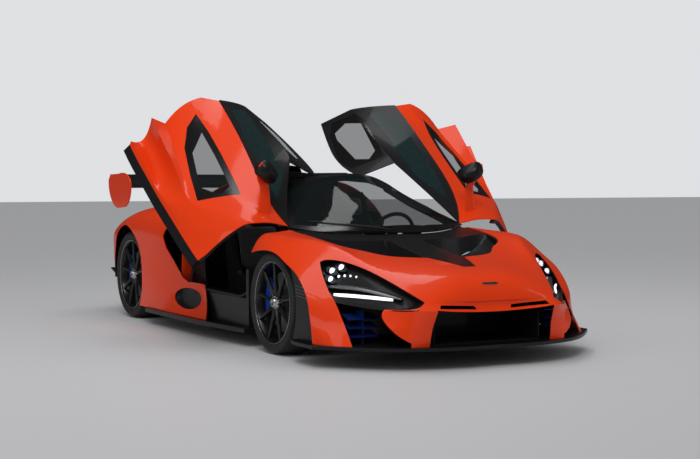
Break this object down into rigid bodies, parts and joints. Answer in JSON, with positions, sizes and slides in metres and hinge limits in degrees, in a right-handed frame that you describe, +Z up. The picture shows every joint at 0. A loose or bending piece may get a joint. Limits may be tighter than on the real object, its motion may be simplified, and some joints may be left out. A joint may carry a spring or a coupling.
{
  "type": "supercar with raised doors",
  "caption": "Low mid-engined two-seat supercar with dihedral doors raised, rolling and steering wheels, and a tilting rear wing.",
  "frame": {"origin": "on the floor under the middle of the car's bounding box, both doors raised", "axes": "+Y from nose to tail, +X to the car's left, +Z up"},
  "size_m": [2.8788, 4.7448, 1.6849],
  "materials": {
    "paint": "gloss",
    "carbon": "satin woven carbon",
    "glass": "tinted",
    "cabin": "matte",
    "metal": "cast",
    "lamp": "gloss",
    "caliper": "gloss",
    "tyre": "matte",
    "alloy": "satin black",
    "steel": "machined"
  },
  "bodies": {
    "car": {"front_clamshell": "paint", "front_splitter": "carbon", "front_duct": "carbon", "headlamps": "carbon", "aero_blades": "carbon", "arch_vents": "carbon", "front_liners": "carbon", "cowl_panel": "carbon", "windscreen": "glass", "monocage": "carbon", "seat_left": "cabin", "seat_right": "cabin", "dashboard": "cabin", "rear_clamshell": "paint", "engine_cover": "carbon", "roof_scoop": "carbon", "side_intakes": "carbon", "engine": "metal", "side_skirts": "carbon", "rear_diffuser": "carbon", "rear_panel": "carbon", "rear_frame": "metal", "tail_lamps": "lamp", "exhausts": "metal", "wing_pylons": "carbon", "front_suspension": "metal", "rear_suspension": "metal", "caliper_rear_left": "caliper", "caliper_rear_right": "caliper"},
    "steering_wheel": {"steering_wheel": "cabin"},
    "wing": {"rear_wing": "carbon", "wing_endplates": "paint"},
    "door_left": {"door_skin_left": "paint", "door_roof_left": "carbon", "door_card_left": "carbon", "door_glass_left": "glass", "door_blade_left": "carbon", "door_mirror_left": "carbon"},
    "knuckle_left": {"knuckle_front_left": "metal", "caliper_front_left": "caliper"},
    "wheel_front_left": {"tyre_front_left": "tyre", "rim_front_left": "alloy", "disc_front_left": "steel"},
    "wheel_rear_left": {"tyre_rear_left": "tyre", "rim_rear_left": "alloy", "disc_rear_left": "steel"},
    "door_right": {"door_skin_right": "paint", "door_roof_right": "carbon", "door_card_right": "carbon", "door_glass_right": "glass", "door_blade_right": "carbon", "door_mirror_right": "carbon"},
    "knuckle_right": {"knuckle_front_right": "metal", "caliper_front_right": "caliper"},
    "wheel_front_right": {"tyre_front_right": "tyre", "rim_front_right": "alloy", "disc_front_right": "steel"},
    "wheel_rear_right": {"tyre_rear_right": "tyre", "rim_rear_right": "alloy", "disc_rear_right": "steel"}
  },
  "joints": [
    {"name": "door_hinge_left", "type": "hinge", "parent": "car", "child": "door_left", "pos_m": [0.681, -0.91038, 0.789], "axis": [-0.5648, 0.6889, 0.4543], "range_deg": [0, 51.05]},
    {"name": "steer_left", "type": "hinge", "parent": "car", "child": "knuckle_left", "pos_m": [0.7692, -1.18138, 0.327], "axis": [0, 0, 1], "range_deg": [-24, 24]},
    {"name": "wheel_spin_front_left", "type": "hinge", "parent": "knuckle_left", "child": "wheel_front_left", "pos_m": [0.807, -1.18138, 0.327], "axis": [1, 0, 0], "continuous": true},
    {"name": "wheel_spin_rear_left", "type": "hinge", "parent": "car", "child": "wheel_rear_left", "pos_m": [0.762, 1.48862, 0.348], "axis": [1, 0, 0], "continuous": true},
    {"name": "door_hinge_right", "type": "hinge", "parent": "car", "child": "door_right", "pos_m": [-0.681, -0.91038, 0.789], "axis": [-0.5648, -0.6889, -0.4543], "range_deg": [0, 51.05]},
    {"name": "steer_right", "type": "hinge", "parent": "car", "child": "knuckle_right", "pos_m": [-0.7692, -1.18138, 0.327], "axis": [0, 0, 1], "range_deg": [-24, 24]},
    {"name": "wheel_spin_front_right", "type": "hinge", "parent": "knuckle_right", "child": "wheel_front_right", "pos_m": [-0.807, -1.18138, 0.327], "axis": [1, 0, 0], "continuous": true},
    {"name": "wheel_spin_rear_right", "type": "hinge", "parent": "car", "child": "wheel_rear_right", "pos_m": [-0.762, 1.48862, 0.348], "axis": [1, 0, 0], "continuous": true},
    {"name": "steering_wheel_turn", "type": "hinge", "parent": "car", "child": "steering_wheel", "pos_m": [0.36, -0.48185, 0.7], "axis": [0, 0.9272, 0.3746], "range_deg": [-260, 260]},
    {"name": "wing_tilt", "type": "hinge", "parent": "car", "child": "wing", "pos_m": [0, 1.80902, 1.083], "axis": [1, 0, 0], "range_deg": [-6, 14]}
  ],
  "couplings": [
    {"joint": "steer_right", "follows": "steer_left", "ratio": 1},
    {"joint": "steering_wheel_turn", "follows": "steer_left", "ratio": 10}
  ]
}
